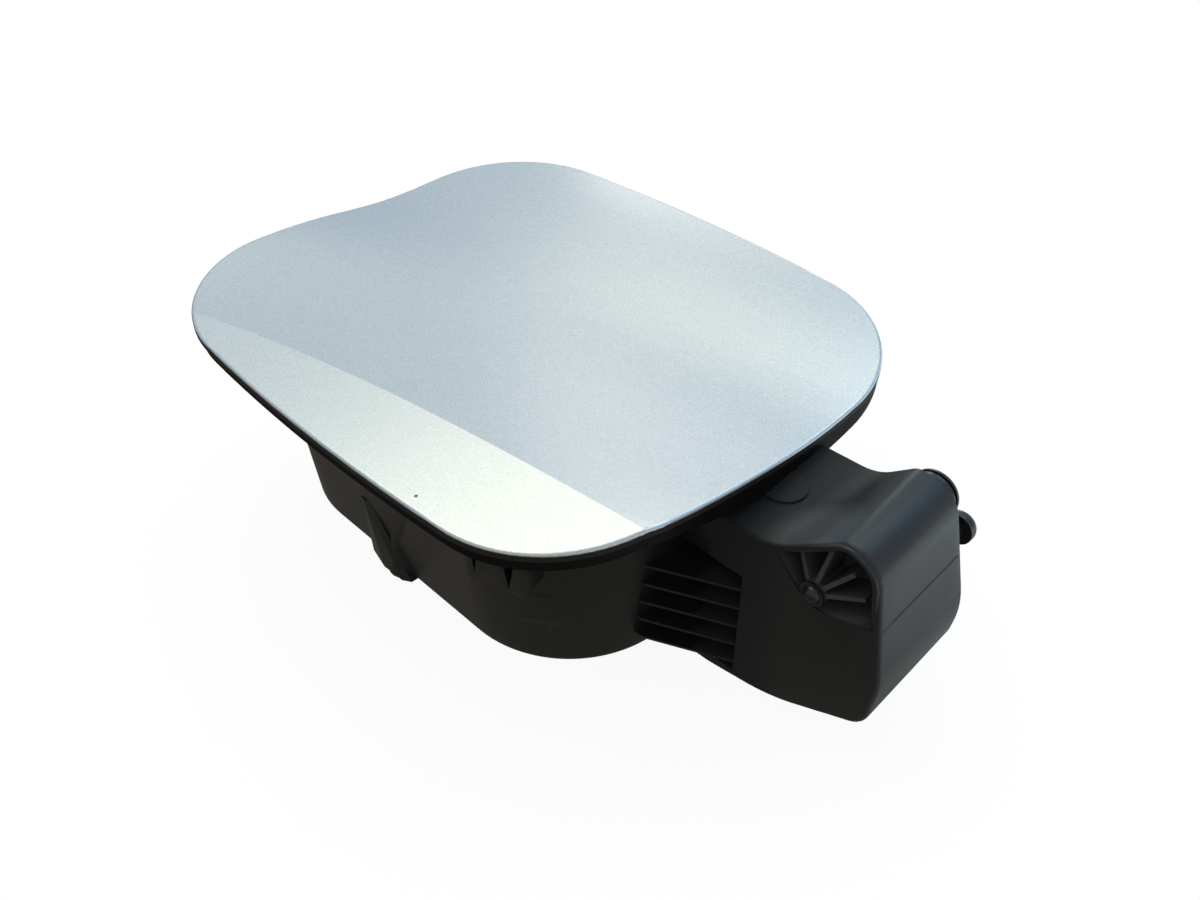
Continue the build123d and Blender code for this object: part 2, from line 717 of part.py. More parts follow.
# Rubber buffers under the flap's free end, headed above the flange and barbed below it
for side, y in (("near", -buffer_y), ("far", buffer_y)):
    with BuildPart() as buffer_head:
        with BuildSketch(Plane.XY.offset(flap_z - 25)):
            with Locations((buffer_x, y)):
                Circle(buffer_radius)
        extrude(amount=30)
        add(rim_sky, mode=Mode.INTERSECT)
    with BuildPart() as buffer:
        with BuildSketch(Plane.XY.offset(flap_z - rim_drop - flange_thick - buffer_barb_drop)):
            with Locations((buffer_x, y)):
                Circle(buffer_tip)
        extrude(amount=12, taper=-14)
        add(flange_floor, mode=Mode.SUBTRACT)
        with BuildSketch(Plane.XY.offset(flap_z - rim_drop - flange_thick - buffer_barb_drop)):
            with Locations((buffer_x, y)):
                Circle(buffer_stem)
        extrude(amount=12)
        add(buffer_head.part)
        add(buffer_ceiling, mode=Mode.SUBTRACT)
    buffer.part.label = f"buffer_{side}"
    export_step(buffer.part, f"parts/buffer_{side}.step")

# Rubber sleeve for the lock bolt
with BuildPart() as lock_grommet:
    lip_x = bowl_x - bowl_half_x - bowl_draft - 1.5
    with BuildSketch(Plane.YZ.offset(lip_x)):
        with Locations((0, lock_z)):
            Circle(lock_sleeve + sleeve_lip)
    extrude(amount=-sleeve_lip_thick)
    fillet(lock_grommet.edges().sort_by(Axis.X)[0], sleeve_lip_round)
    with BuildSketch(Plane.YZ.offset(lip_x)):
        with Locations((0, lock_z)):
            Circle(lock_sleeve - 0.1)
    extrude(amount=sleeve_length)
    with BuildSketch(Plane.YZ.offset(lip_x - sleeve_lip_thick)):
        with Locations((0, lock_z)):
            Circle(lock_bore)
    extrude(amount=sleeve_lip_thick + sleeve_length, mode=Mode.SUBTRACT)
lock_grommet.part.label = "lock_grommet"
export_step(lock_grommet.part, "parts/lock_grommet.step")
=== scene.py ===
import json
import math

import bpy
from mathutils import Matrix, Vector


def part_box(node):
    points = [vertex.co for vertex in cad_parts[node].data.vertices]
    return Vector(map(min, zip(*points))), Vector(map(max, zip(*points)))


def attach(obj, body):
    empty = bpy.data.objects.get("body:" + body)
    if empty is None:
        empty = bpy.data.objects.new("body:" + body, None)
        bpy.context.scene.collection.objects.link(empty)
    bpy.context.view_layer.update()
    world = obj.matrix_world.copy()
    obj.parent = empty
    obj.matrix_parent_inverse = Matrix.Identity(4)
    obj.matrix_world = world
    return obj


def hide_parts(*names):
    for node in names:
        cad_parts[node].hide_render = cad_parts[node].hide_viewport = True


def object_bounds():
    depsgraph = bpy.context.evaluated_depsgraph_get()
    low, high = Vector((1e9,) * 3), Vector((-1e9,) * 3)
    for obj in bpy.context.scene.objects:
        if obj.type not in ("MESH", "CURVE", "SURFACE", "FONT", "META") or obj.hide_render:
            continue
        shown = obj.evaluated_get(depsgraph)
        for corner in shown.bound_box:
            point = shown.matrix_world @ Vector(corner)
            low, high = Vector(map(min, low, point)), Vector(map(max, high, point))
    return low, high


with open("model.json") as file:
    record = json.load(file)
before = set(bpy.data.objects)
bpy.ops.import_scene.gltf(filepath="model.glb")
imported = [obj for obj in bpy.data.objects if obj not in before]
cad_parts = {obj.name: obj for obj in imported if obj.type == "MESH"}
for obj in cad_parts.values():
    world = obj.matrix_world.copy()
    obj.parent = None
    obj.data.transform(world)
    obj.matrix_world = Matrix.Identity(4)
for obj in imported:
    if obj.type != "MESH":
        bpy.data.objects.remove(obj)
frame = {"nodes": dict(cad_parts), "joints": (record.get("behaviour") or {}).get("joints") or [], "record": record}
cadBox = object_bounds()
nodes = frame["nodes"]
hingeX, hingeY, hingeZ = frame["joints"][0]["pos_m"]  # the pin's axis runs along Y through here
print("frame loaded:", len(nodes), "nodes")


# small helpers for node trees
def addNode(tree, kind, **values):
    node = tree.nodes.new(kind)
    for name, value in values.items():
        if name in node.inputs:
            node.inputs[name].default_value = value
        else:
            setattr(node, name, value)
    return node


def newGroup(title, inputs, outputs):
    group = bpy.data.node_groups.new(title, "ShaderNodeTree")
    for name, value in inputs.items():
        socket = group.interface.new_socket(name, in_out="INPUT", socket_type="NodeSocketFloat")
        socket.default_value = value
    for name in outputs:
        group.interface.new_socket(name, in_out="OUTPUT", socket_type="NodeSocketFloat")
    return group, group.nodes.new("NodeGroupInput"), group.nodes.new("NodeGroupOutput")


def placeGroup(tree, group, **values):
    node = tree.nodes.new("ShaderNodeGroup")
    node.node_tree = group
    for name, value in values.items():
        node.inputs[name].default_value = value
    return node


def mapRange(tree, source, fromLow, fromHigh, toLow, toHigh):
    node = addNode(tree, "ShaderNodeMapRange", clamp=True)
    limits = {"From Min": fromLow, "From Max": fromHigh, "To Min": toLow, "To Max": toHigh}
    for name, value in limits.items():
        node.inputs[name].default_value = value
    tree.links.new(source, node.inputs["Value"])
    return node.outputs["Result"]


# a Mix node's colours go in at 6 and 7 and come out at 2
def mixColours(tree, factor, first, second):
    node = addNode(tree, "ShaderNodeMix", data_type="RGBA")
    tree.links.new(factor, node.inputs[0])
    for socket, colour in ((node.inputs[6], first), (node.inputs[7], second)):
        if isinstance(colour, tuple):
            socket.default_value = (*colour, 1.0)
        else:
            tree.links.new(colour, socket)
    return node.outputs[2]


def combine(tree, operation, *sources):
    node = addNode(tree, "ShaderNodeMath", operation=operation)
    for socket, source in zip(node.inputs, sources):
        tree.links.new(source, socket)
    return node.outputs[0]


def splitAxes(tree, source):
    node = addNode(tree, "ShaderNodeSeparateXYZ")
    tree.links.new(source, node.inputs[0])
    return node.outputs


def distanceFrom(tree, source, place):
    node = addNode(tree, "ShaderNodeVectorMath", operation="DISTANCE")
    tree.links.new(source, node.inputs[0])
    node.inputs[1].default_value = place
    return node.outputs["Value"]


def newMaterial(title):
    material = bpy.data.materials.new(title)
    material.use_nodes = True
    tree = material.node_tree
    return material, tree, tree.nodes["Principled BSDF"]


# fine grain and slow clouding, shared by plastic, rubber and steel
grainNoise = {"Detail": 3.0, "Roughness": 0.6}
cloudNoise = {"Detail": 5.0, "Roughness": 0.55, "Distortion": 0.4}


def makeMouldGrain():
    group, given, result = newGroup("mouldGrain", {"Grain": 1800.0, "Cloud": 22.0}, ("Height", "Cloud"))
    place = addNode(group, "ShaderNodeTexCoord")
    grain = addNode(group, "ShaderNodeTexNoise", **grainNoise)
    cloud = addNode(group, "ShaderNodeTexNoise", **cloudNoise)
    for noise, name in ((grain, "Grain"), (cloud, "Cloud")):
        group.links.new(place.outputs["Object"], noise.inputs["Vector"])
        group.links.new(given.outputs[name], noise.inputs["Scale"])
    group.links.new(grain.outputs["Fac"], result.inputs["Height"])
    group.links.new(cloud.outputs["Fac"], result.inputs["Cloud"])
    return group


# dust that lies on faces turned up, in specks that gather in patches
dustLook = {
    "upward": (0.1, 0.8),  # upward part of the normal where dust starts, and where it is full
    "speckNoise": {"Detail": 2.0, "Roughness": 0.7},
    "specks": (0.66, 0.76),
    "patchNoise": {"Detail": 4.0, "Roughness": 0.6},
    "patches": (0.38, 0.72),
    "leastPatch": 0.15,
}


def makeDustFall(look):
    group, given, result = newGroup("dustFall", {"Speck": 900.0, "Patch": 30.0, "Amount": 0.5}, ("Mask",))
    place = addNode(group, "ShaderNodeTexCoord")
    mask = mapRange(group, splitAxes(group, place.outputs["Normal"])["Z"], *look["upward"], 0.0, 1.0)
    speck = addNode(group, "ShaderNodeTexNoise", **look["speckNoise"])
    patch = addNode(group, "ShaderNodeTexNoise", **look["patchNoise"])
    for noise, name in ((speck, "Speck"), (patch, "Patch")):
        group.links.new(place.outputs["Object"], noise.inputs["Vector"])
        group.links.new(given.outputs[name], noise.inputs["Scale"])
    specks = mapRange(group, speck.outputs["Fac"], *look["specks"], 0.0, 1.0)
    patches = mapRange(group, patch.outputs["Fac"], *look["patches"], look["leastPatch"], 1.0)
    for factor in (specks, patches, given.outputs["Amount"]):
        mask = combine(group, "MULTIPLY", mask, factor)
    group.links.new(mask, result.inputs["Mask"])
    return group


mouldGrain = makeMouldGrain()
dustFall = makeDustFall(dustLook)

silverPaint = {
    "base": (0.60, 0.635, 0.655),
    "flakeDark": (0.55, 0.585, 0.61),
    "flakeBright": (0.68, 0.71, 0.73),
    "darkShare": (0.0, 0.5),  # band of a flake's own number that darkens it
    "brightShare": (0.86, 0.97),
    "flakeScale": 3600.0,
    "metallic": 0.9,
    "roughness": (0.27, 0.32),
    "coat": 0.35,
    "coatRoughness": 0.15,
    "peelScale": 240.0,
    "peelBump": 0.010,
    "peelDepth": 0.0006,
    "chipPlace": (0.04154, -0.07182, 0.06869),
    "chipSize": (0.00028, 0.00062),  # radius of the full chip, and where it has faded out
    "chipColour": (0.045, 0.043, 0.04),
    "shadedSide": (0.18, 0.36),  # upward part of the normal where the painted shade of the side and underside ends
    # painted shade colour, and extra roughness, for the sheet's side and underside
    "shadedSideColour": (0.0045, 0.0042, 0.0040),
    "shadedSideRougher": 0.35,
}


def makeSilverPaint(look):
    material, tree, surface = newMaterial("silverPaint")
    place = addNode(tree, "ShaderNodeTexCoord")
    flake = addNode(tree, "ShaderNodeTexVoronoi", Scale=look["flakeScale"], Randomness=1.0)
    peel = addNode(tree, "ShaderNodeTexNoise", Scale=look["peelScale"], Detail=2.0)
    for texture in (flake, peel):
        tree.links.new(place.outputs["Object"], texture.inputs["Vector"])
    numbers = addNode(tree, "ShaderNodeSeparateColor")  # three of each flake's own
    tree.links.new(flake.outputs["Color"], numbers.inputs[0])
    dark = mapRange(tree, numbers.outputs["Red"], *look["darkShare"], 1.0, 0.0)
    bright = mapRange(tree, numbers.outputs["Green"], *look["brightShare"], 0.0, 1.0)
    body = mixColours(tree, dark, look["base"], look["flakeDark"])
    body = mixColours(tree, bright, body, look["flakeBright"])
    # one small stone chip near the edge
    away = distanceFrom(tree, place.outputs["Object"], look["chipPlace"])
    chip = mapRange(tree, away, *look["chipSize"], 1.0, 0.0)
    body = mixColours(tree, chip, body, look["chipColour"])
    # painted shade: the side and underside of the sheet are darkened, with less metal, coat and gloss
    upward = splitAxes(tree, place.outputs["Normal"])["Z"]
    unshadedSilver = mapRange(tree, upward, *look["shadedSide"], 0.0, 1.0)
    body = mixColours(tree, unshadedSilver, look["shadedSideColour"], body)
    tree.links.new(body, surface.inputs["Base Color"])
    for name, most in (("Metallic", look["metallic"]), ("Coat Weight", look["coat"])):
        tree.links.new(mapRange(tree, unshadedSilver, 0.0, 1.0, 0.0, most), surface.inputs[name])
    rough = mapRange(tree, numbers.outputs["Blue"], 0.0, 1.0, *look["roughness"])
    rougher = mapRange(tree, unshadedSilver, 0.0, 1.0, look["shadedSideRougher"], 0.0)
    tree.links.new(combine(tree, "ADD", rough, rougher), surface.inputs["Roughness"])
    ripple = addNode(tree, "ShaderNodeBump", Strength=look["peelBump"], Distance=look["peelDepth"])
    tree.links.new(peel.outputs["Fac"], ripple.inputs["Height"])
    tree.links.new(ripple.outputs["Normal"], surface.inputs["Normal"])
    surface.inputs["Coat Roughness"].default_value = look["coatRoughness"]
    return material


blackPlastic = {
    "deep": (0.0080, 0.0084, 0.0096),
    "worn": (0.0130, 0.0133, 0.0142),
    "dust": (0.16, 0.16, 0.165),
    "dustAmount": 0.50,
    "grain": 1700.0,
    "cloud": 24.0,
    "roughness": (0.30, 0.40),
    "bump": 0.12,
    "gloss": 0.5,
    "glossTint": (0.90, 0.96, 1.0),
    "matTop": 0.42,  # extra roughness on the pocket's top, which starts and ends at these X
    "topStart": (0.084, 0.086),
    "topEnd": (0.102, 0.112),
    "recessPaintedLight": 0.30,  # painted light: the recess round the axle boss, behind its mouth, is lifted to the dust colour
    "recess": (0.1160, -0.0080, 0.0520),
    "recessReach": (0.0135, 0.0185),
    "recessMouth": (-0.0139, -0.0132),
}
pinPlastic = {
    "deep": (0.008, 0.0085, 0.0105),
    "worn": (0.013, 0.0135, 0.015),
    "dust": (0.12, 0.12, 0.12),
    "dustAmount": 0.06,
    "grain": 2600.0,
    "cloud": 60.0,
    "roughness": (0.24, 0.34),
    "bump": 0.03,
    "gloss": 0.5,
    "glossTint": (1.0, 1.0, 1.0),
}
sealRubber = {
    "deep": (0.0034, 0.0031, 0.0028),
    "worn": (0.0080, 0.0068, 0.0057),
    "dust": (0.15, 0.135, 0.12),
    "dustAmount": 0.25,
    "grain": 1300.0,
    "cloud": 34.0,
    "roughness": (0.40, 0.55),
    "bump": 0.10,
    "gloss": 0.10,
    "glossTint": (1.0, 1.0, 1.0),
}
# bands of the clouding that turn deep to worn and smooth to rough, and the height of the grain
mouldBands = {"worn": (0.35, 0.68), "rough": (0.3, 0.7), "grainDepth": 0.0002}


def makeMoulded(title, look):
    material, tree, surface = newMaterial(title)
    grain = placeGroup(tree, mouldGrain, Grain=look["grain"], Cloud=look["cloud"])
    dust = placeGroup(tree, dustFall, Amount=look["dustAmount"])
    worn = mapRange(tree, grain.outputs["Cloud"], *mouldBands["worn"], 0.0, 1.0)
    body = mixColours(tree, worn, look["deep"], look["worn"])
    body = mixColours(tree, dust.outputs["Mask"], body, look["dust"])
    rough = mapRange(tree, grain.outputs["Cloud"], *mouldBands["rough"], *look["roughness"])
    # only the bowl's plastic has a pocket, with painted light lifting its recess to the dust colour, and a mat top
    if "recess" in look:
        place = addNode(tree, "ShaderNodeTexCoord").outputs["Object"]
        axes = splitAxes(tree, place)
        away = distanceFrom(tree, place, look["recess"])
        close = mapRange(tree, away, *look["recessReach"], 1.0, 0.0)
        inside = mapRange(tree, axes["Y"], *look["recessMouth"], 0.0, look["recessPaintedLight"])
        # painted light in the recess, in the dust colour, fading from the boss and towards the mouth
        body = mixColours(tree, combine(tree, "MULTIPLY", close, inside), body, look["dust"])
        begun = mapRange(tree, axes["X"], *look["topStart"], 0.0, look["matTop"])
        left = mapRange(tree, axes["X"], *look["topEnd"], 1.0, 0.0)
        rough = combine(tree, "MULTIPLY_ADD", begun, left, rough)
    tree.links.new(body, surface.inputs["Base Color"])
    tree.links.new(rough, surface.inputs["Roughness"])
    bump = addNode(tree, "ShaderNodeBump", Strength=look["bump"], Distance=mouldBands["grainDepth"])
    tree.links.new(grain.outputs["Height"], bump.inputs["Height"])
    tree.links.new(bump.outputs["Normal"], surface.inputs["Normal"])
    surface.inputs["Specular IOR Level"].default_value = look["gloss"]
    surface.inputs["Specular Tint"].default_value = (*look["glossTint"], 1.0)
    return material


zincSteel = {"base": (0.42, 0.42, 0.41), "stain": (0.24, 0.23, 0.21), "grain": 900.0, "cloud": 120.0}
springSteel = {
    "base": (0.075, 0.078, 0.082),
    "stain": (0.040, 0.041, 0.043),
    "grain": 1500.0,
    "cloud": 160.0,
}
steelBands = {"stain": (0.4, 0.7), "rough": (0.3, 0.7), "roughness": (0.26, 0.42)}


def makeSteel(title, look):
    material, tree, surface = newMaterial(title)
    grain = placeGroup(tree, mouldGrain, Grain=look["grain"], Cloud=look["cloud"])
    stain = mapRange(tree, grain.outputs["Cloud"], *steelBands["stain"], 0.0, 1.0)
    tree.links.new(mixColours(tree, stain, look["base"], look["stain"]), surface.inputs["Base Color"])
    rough = mapRange(tree, grain.outputs["Height"], *steelBands["rough"], *steelBands["roughness"])
    tree.links.new(rough, surface.inputs["Roughness"])
    surface.inputs["Metallic"].default_value = 1.0
    return material


finishes = {
    "paint": makeSilverPaint(silverPaint),
    "plastic": makeMoulded("blackPlastic", blackPlastic),
    "pin_plastic": makeMoulded("pinPlastic", pinPlastic),
    "rubber": makeMoulded("sealRubber", sealRubber),
    "steel": makeSteel("zincSteel", zincSteel),
}
darkSteel = makeSteel("springSteel", springSteel)
for row in frame["record"]["subparts"]:
    slots = nodes[row["node"]].data.materials
    slots.clear()
    slots.append(finishes[row["material_slot"]])
print("finishes on the CAD nodes")

samePlace = 0.000002  # points closer than this are merged
sameLevel = 0.00001  # points this close in height are on one plane


# mesh helpers
def pickNothing():
    bpy.ops.object.select_all(action="DESELECT")


def pickOnly(piece):
    pickNothing()
    bpy.context.view_layer.objects.active = piece
    piece.select_set(True)


def editMesh():
    bpy.ops.object.mode_set(mode="EDIT")


def leaveMesh():
    bpy.ops.object.mode_set(mode="OBJECT")


# selects the points or edges that pass a test, and leaves the piece in edit mode
def pickWhere(piece, kind, wanted):
    pickOnly(piece)
    editMesh()
    bpy.ops.mesh.select_mode(type=kind)
    bpy.ops.mesh.select_all(action="DESELECT")
    leaveMesh()
    parts = piece.data.edges if kind == "EDGE" else piece.data.vertices
    for part in parts:
        part.select = wanted(part)
    editMesh()


def applyModifier(piece, kind, **values):
    change = piece.modifiers.new("change", kind)
    for name, value in values.items():
        setattr(change, name, value)
    bpy.ops.object.modifier_apply(modifier="change")


def shadeByAngle(degrees):
    bpy.ops.object.shade_smooth_by_angle(angle=math.radians(degrees))


# merged copy of a CAD node, with faces flatter than an angle joined
def copyNode(node, title, flatness):
    piece = bpy.data.objects.new(title, nodes[node].data.copy())
    bpy.context.collection.objects.link(piece)
    pickOnly(piece)
    editMesh()
    bpy.ops.mesh.select_all(action="SELECT")
    bpy.ops.mesh.remove_doubles(threshold=samePlace)
    bpy.ops.mesh.dissolve_limited(angle_limit=math.radians(flatness))
    leaveMesh()
    bpy.ops.mesh.customdata_custom_splitnormals_clear()
    return piece


def dress(piece, body, slot, node=None):
    piece.data.materials.clear()
    piece.data.materials.append(finishes[slot])
    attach(piece, body)
    if node:
        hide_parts(node)


# bowl without its near lug, with thin corner fins, a narrow tongue and rounded moulded edges
bowlShell = {
    "flatness": 0.3,
    "smooth": 34.0,
    "edge": 0.00028,
    "edgeRoom": 2.6,  # shortest neighbour of a rounded edge, in widths
    "shortest": 0.0025,
    "sharper": 50.0,
    "leaveSharp": ((-0.030, -0.072, -0.001), (0.012, -0.040, 0.030)),  # blended drain ridge
    "cornerPlace": (0.034, -0.016),
    "cornerRadius": (0.036, 0.0976),  # at the base, and its growth with height
    "cornerSpan": (0.010, 0.040),  # heights that the trimming cone spans
    "cornerSides": 240,
    "cornerSpare": 0.00004,  # keeps the cut just off the wall
    "lugPlace": (0.0536, -0.0546, 0.0232),
    "lugTurn": -63.0,
    "lugRoom": (0.0190, 0.0290, 0.0130),
    "lugReach": 0.019,  # cut points this near, and below the lug's top, are welded
    "lugTop": 0.0295,
    "lugWeld": 0.00012,
    "tongue": (0.0901, 0.0053, 0.0085),  # X, Y and radius of the pad
    "tongueBand": 0.0002,
    "tongueAbove": 0.055,
    "tongueScale": (0.74, 0.65),
    "tongueHold": (0.1009, -0.0007),
    "tongueSlope": (0.03, 0.141),  # of the pocket's top
    "finArea": ((0.060, -0.0262), (0.0962, -0.0065)),
    "finLowest": 0.0070,  # underside of the lowest fin
    "finStep": 0.0068,
    "finCount": 5,
    "finThinner": 0.0008,
}


# removes the standing lug of the near corner, down to the corner's cone
def trimLug(piece, look):
    low, high = look["cornerSpan"]
    base, growth = look["cornerRadius"]
    base += look["cornerSpare"]
    pickNothing()
    bpy.ops.mesh.primitive_cone_add(
        vertices=look["cornerSides"], radius1=base + growth * low, radius2=base + growth * high,
        depth=high - low, location=(*look["cornerPlace"], (low + high) / 2),
    )
    core = bpy.context.object
    pickNothing()
    turn = (0, 0, math.radians(look["lugTurn"]))
    bpy.ops.mesh.primitive_cube_add(size=1, location=look["lugPlace"], rotation=turn)
    room = bpy.context.object
    room.scale = look["lugRoom"]
    bpy.ops.object.transform_apply(location=True, rotation=True, scale=True)
    applyModifier(room, "BOOLEAN", operation="DIFFERENCE", object=core, solver="EXACT")
    pickOnly(piece)
    applyModifier(piece, "BOOLEAN", operation="DIFFERENCE", object=room, solver="EXACT")
    for tool in (core, room):
        bpy.data.objects.remove(tool)
    middle = Vector(look["lugPlace"])
    pickWhere(
        piece, "VERT",
        lambda point: (point.co - middle).length < look["lugReach"] and point.co.z < look["lugTop"],
    )
    bpy.ops.mesh.remove_doubles(threshold=look["lugWeld"])
    leaveMesh()


# narrows the round pad on the pocket's top, sliding it along the sloping top
def narrowTongue(piece, look):
    middleX, middleY, radius = look["tongue"]
    scaleX, scaleY = look["tongueScale"]
    holdX, holdY = look["tongueHold"]
    slopeX, slopeY = look["tongueSlope"]
    for point in piece.data.vertices:
        away = math.hypot(point.co.x - middleX, point.co.y - middleY)
        if abs(away - radius) < look["tongueBand"] and point.co.z > look["tongueAbove"]:
            shiftX = (scaleX - 1) * (point.co.x - holdX)
            shiftY = (scaleY - 1) * (point.co.y - holdY)
            point.co += Vector((shiftX, shiftY, slopeX * shiftX + slopeY * shiftY))


# raises the undersides of the corner fins, which are thin at their fronts
def thinFins(piece, look):
    (lowX, lowY), (highX, highY) = look["finArea"]
    unders = [look["finLowest"] + look["finStep"] * step for step in range(look["finCount"])]
    for point in piece.data.vertices:
        inArea = lowX < point.co.x < highX and lowY < point.co.y < highY
        if inArea and any(abs(point.co.z - under) < sameLevel for under in unders):
            point.co.z += look["finThinner"]


# rounds the long sharp edges that have no short neighbours, so that no bevel can fold over
def roundLongEdges(piece, look):
    pickOnly(piece)
    mesh = piece.data
    places = [point.co.copy() for point in mesh.vertices]
    around = {}
    for face in mesh.polygons:
        for key in face.edge_keys:
            around.setdefault(key, []).append(face.normal)
    lengths = []
    shortestAt = [math.inf] * len(places)
    for edge in mesh.edges:
        first, second = edge.vertices
        length = (places[first] - places[second]).length
        lengths.append(length)
        for index in (first, second):
            shortestAt[index] = min(shortestAt[index], length)
    low, high = look["leaveSharp"]
    weights = mesh.attributes.new("bevel_weight_edge", "FLOAT", "EDGE")
    for edge, length in zip(mesh.edges, lengths):
        first, second = edge.vertices
        sides = around.get(edge.key, [])
        middle = (places[first] + places[second]) / 2
        onRidge = all(low[axis] < middle[axis] < high[axis] for axis in range(3))
        if len(sides) != 2 or onRidge or length < look["shortest"]:
            continue
        clear = min(shortestAt[first], shortestAt[second]) > look["edgeRoom"] * look["edge"]
        if clear and sides[0].angle(sides[1], 0.0) > math.radians(look["sharper"]):
            weights.data[edge.index].value = 1.0
    applyModifier(
        piece, "BEVEL", width=look["edge"], segments=2, limit_method="WEIGHT", use_clamp_overlap=True
    )


def makeBowlShell(look):
    piece = copyNode("filler_bowl", "bowlShell", look["flatness"])
    thinFins(piece, look)
    trimLug(piece, look)
    narrowTongue(piece, look)
    roundLongEdges(piece, look)
    shadeByAngle(look["smooth"])
    dress(piece, "bowl", "plastic", "filler_bowl")


# bracket under the rim at the near corner: a hollow box with pointed slots in its front
rimBracket = {
    "frontLeft": (0.0440, -0.0612),
    "frontRight": (0.0605, -0.0565),
    "foot": 0.0368,
    "head": 0.0535,
    "wall": 0.0014,
    "depth": 0.0100,
    "edge": 0.00018,
    "sharper": 40.0,
    "smooth": 35.0,
    # start and end along the front, and the share of the height left at the slot's point
    "slots": ((0.03, 0.25, 0.13), (0.30, 0.52, 0.72), (0.56, 0.92, 0.09)),
}


def makeRimBracket(look):
    left, right = Vector((*look["frontLeft"], 0)), Vector((*look["frontRight"], 0))
    along = right - left
    inward = Vector((-along.y, along.x, 0)).normalized()
    columns, tops = [0.0], [1.0]
    for start, end, share in look["slots"]:
        columns += [start, (start + end) / 2, end]
        tops += [1.0, share, 1.0]
    columns.append(1.0)
    tops.append(1.0)
    strips = len(columns) - 1
    pickNothing()
    bpy.ops.mesh.primitive_grid_add(x_subdivisions=strips, y_subdivisions=1, size=1)
    piece = bpy.context.object
    piece.name = "rimBracket"
    for point in piece.data.vertices:
        column = round((point.co.x + 0.5) * strips)
        rise = (look["head"] - look["foot"]) * tops[column] if point.co.y > 0 else 0.0
        point.co = left + along * columns[column] + Vector((0, 0, look["foot"] + rise))

    # foot and both ends run back into the wall
    def runsBack(edge):
        ends = [piece.data.vertices[index].co for index in edge.vertices]
        atFoot = all(end.z < look["foot"] + samePlace for end in ends)
        atSide = [all((end - side).to_2d().length < samePlace for end in ends) for side in (left, right)]
        return atFoot or any(atSide)

    pickWhere(piece, "EDGE", runsBack)
    bpy.ops.mesh.extrude_region_move(TRANSFORM_OT_translate={"value": tuple(inward * look["depth"])})
    bpy.ops.mesh.select_all(action="SELECT")
    bpy.ops.mesh.remove_doubles(threshold=samePlace)
    bpy.ops.mesh.normals_make_consistent(inside=False)
    leaveMesh()
    applyModifier(piece, "SOLIDIFY", thickness=look["wall"], offset=-1.0)
    applyModifier(
        piece, "BEVEL", width=look["edge"], segments=2, limit_method="ANGLE",
        angle_limit=math.radians(look["sharper"]),
    )
    shadeByAngle(look["smooth"])
    dress(piece, "bowl", "plastic")


# round tube along a NURBS path, as one mesh
def tubeAlong(title, points, radius, rings):
    pickNothing()
    bpy.ops.curve.primitive_nurbs_path_add(location=(0, 0, 0))
    piece = bpy.context.object
    piece.name = title
    spline = piece.data.splines[0]
    spline.points.add(len(points) - len(spline.points))  # a new path already has five
    for control, place in zip(spline.points, points):
        control.co = (*place, 1.0)
    spline.use_endpoint_u = True
    spline.order_u = 3
    spline.resolution_u = 10
    piece.data.bevel_depth = radius
    piece.data.bevel_resolution = rings
    piece.data.use_fill_caps = True
    bpy.ops.object.convert(target="MESH")
    bpy.ops.object.shade_smooth()
    return bpy.context.object


# rolled lip round the axle recess
recessBead = {
    "radius": 0.00085,
    "rings": 4,
    "points": (
        (0.1022, -0.0134, 0.0558),
        (0.1062, -0.0137, 0.0572),
        (0.1130, -0.0137, 0.0617),
        (0.1195, -0.0137, 0.0665),
        (0.1226, -0.0137, 0.0686),
        (0.1262, -0.0137, 0.0682),
        (0.1300, -0.0137, 0.0660),
        (0.1318, -0.0137, 0.0628),
        (0.1322, -0.0136, 0.0580),
        (0.1329, -0.0132, 0.0520),
        (0.1332, -0.0122, 0.0490),
    ),
}
# mould seam across the pocket's end face, cast on to it from beyond the pocket
mouldSeam = {
    "radius": 0.00016,
    "rings": 2,
    "height": 0.0496,
    "rise": 0.0014,
    "ends": (-0.0125, 0.0200),
    "steps": 7,
    "castFrom": 0.2,
}


def makeBowlTrim(lip, line):
    bead = tubeAlong("recessBead", lip["points"], lip["radius"], lip["rings"])
    dress(bead, "bowl", "plastic")
    near, far = line["ends"]
    points = []
    for step in range(line["steps"]):
        share = step / (line["steps"] - 1)
        start = Vector((line["castFrom"], near + (far - near) * share, line["height"] + line["rise"] * share))
        _, spot, _, _ = nodes["filler_bowl"].ray_cast(start, Vector((-1, 0, 0)))
        points.append(spot)
    seam = tubeAlong("mouldSeam", points, line["radius"], line["rings"])
    dress(seam, "bowl", "plastic")


# rim seal whose outer face leans in a little towards its top
sealSkirt = {
    "flatness": 0.2,
    "lean": (0.990, 0.988),  # scale of the outer top edge along X and Y
    "upright": 0.3,  # most that a side wall's normal points up or down
    "level": 0.7,  # least that a top face's normal points up
    "edge": 0.00035,
    "segments": 3,
    "sharper": 35.0,
    "smooth": 35.0,
}


def makeSealSkirt(look):
    piece = copyNode("rim_seal", "sealSkirt", look["flatness"])
    low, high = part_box("rim_seal")
    middle = (low + high) / 2
    walls, tops = set(), set()
    for face in piece.data.polygons:
        outward = face.normal.dot((face.center - middle) * Vector((1, 1, 0)))
        if abs(face.normal.z) < look["upright"] and outward > 0:
            walls.update(face.vertices)
        if face.normal.z > look["level"]:
            tops.update(face.vertices)
    outerEdge = walls & tops
    pickWhere(piece, "VERT", lambda point: point.index in outerEdge)
    bpy.ops.transform.resize(value=(*look["lean"], 1), orient_type="GLOBAL", center_override=tuple(middle))
    leaveMesh()
    applyModifier(
        piece, "BEVEL", width=look["edge"], segments=look["segments"], limit_method="ANGLE",
        angle_limit=math.radians(look["sharper"]), use_clamp_overlap=False,
    )
    shadeByAngle(look["smooth"])
    dress(piece, "bowl", "rubber", "rim_seal")


